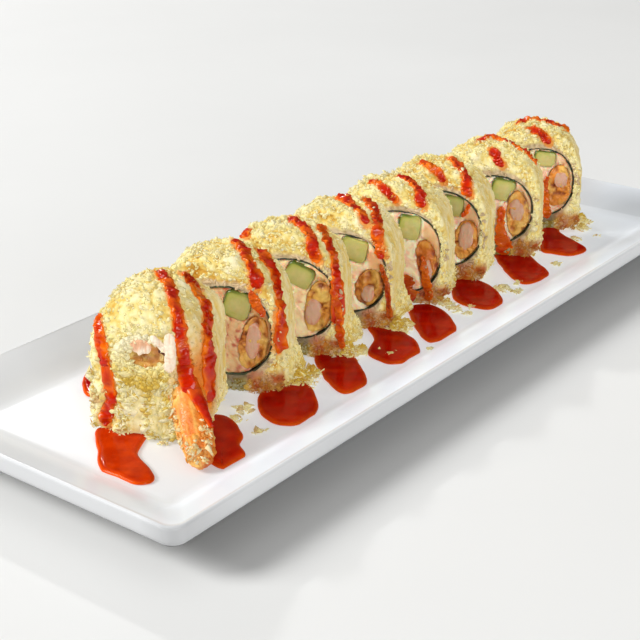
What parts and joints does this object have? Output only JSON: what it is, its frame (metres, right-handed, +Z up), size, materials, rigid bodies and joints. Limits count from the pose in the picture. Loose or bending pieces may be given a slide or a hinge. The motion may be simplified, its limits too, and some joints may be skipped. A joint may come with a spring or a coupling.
{
  "type": "plate of sushi rolls",
  "caption": "Row of thick sushi roll pieces in crisp yellow crumbs with red sauce on a long white rectangular plate.",
  "frame": {"origin": "bottom centre of the bounding box, under the middle of the plate", "axes": "+X along the plate's length, cut faces of the pieces look towards -X, near long edge of the plate at -Y, +Z up"},
  "size_m": [0.36, 0.13, 0.0604],
  "materials": {
    "plate": "glossy white glaze",
    "crumbs": "dry crisp crumbs on rice, matt",
    "nori": "dry seaweed sheet, low sheen",
    "shrimp": "fried batter round pinkish white shrimp, low sheen",
    "cucumber": "moist cut cucumber, soft sheen",
    "crab": "moist shredded crab stick, soft sheen",
    "shrimp_tail": "cooked shrimp tail in crisp batter",
    "sauce": "thick red sauce, glossy"
  },
  "bodies": {
    "root": {"plate": "plate", "roll_1_rice_and_crumbs": "crumbs", "roll_1_nori": "nori", "roll_1_shrimp": "shrimp", "roll_1_cucumber": "cucumber", "roll_1_crab": "crab", "roll_2_rice_and_crumbs": "crumbs", "roll_2_nori": "nori", "roll_2_shrimp": "shrimp", "roll_2_cucumber": "cucumber", "roll_2_crab": "crab", "roll_3_rice_and_crumbs": "crumbs", "roll_3_nori": "nori", "roll_3_shrimp": "shrimp", "roll_3_cucumber": "cucumber", "roll_3_crab": "crab", "roll_4_rice_and_crumbs": "crumbs", "roll_4_nori": "nori", "roll_4_shrimp": "shrimp", "roll_4_cucumber": "cucumber", "roll_4_crab": "crab", "roll_5_rice_and_crumbs": "crumbs", "roll_5_nori": "nori", "roll_5_shrimp": "shrimp", "roll_5_cucumber": "cucumber", "roll_5_crab": "crab", "roll_6_rice_and_crumbs": "crumbs", "roll_6_nori": "nori", "roll_6_shrimp": "shrimp", "roll_6_cucumber": "cucumber", "roll_6_crab": "crab", "roll_7_rice_and_crumbs": "crumbs", "roll_7_nori": "nori", "roll_7_shrimp": "shrimp", "roll_7_cucumber": "cucumber", "roll_7_crab": "crab", "roll_8_rice_and_crumbs": "crumbs", "roll_8_nori": "nori", "roll_8_shrimp": "shrimp", "roll_8_cucumber": "cucumber", "roll_8_crab": "crab", "shrimp_tail": "shrimp_tail", "sauce_pool_1": "sauce", "sauce_pool_2": "sauce", "sauce_pool_3": "sauce", "sauce_pool_4": "sauce", "sauce_pool_5": "sauce", "sauce_pool_6": "sauce", "sauce_pool_7": "sauce", "sauce_pool_8": "sauce", "sauce_pool_9": "sauce", "sauce_pool_10": "sauce"}
  },
  "joints": []
}
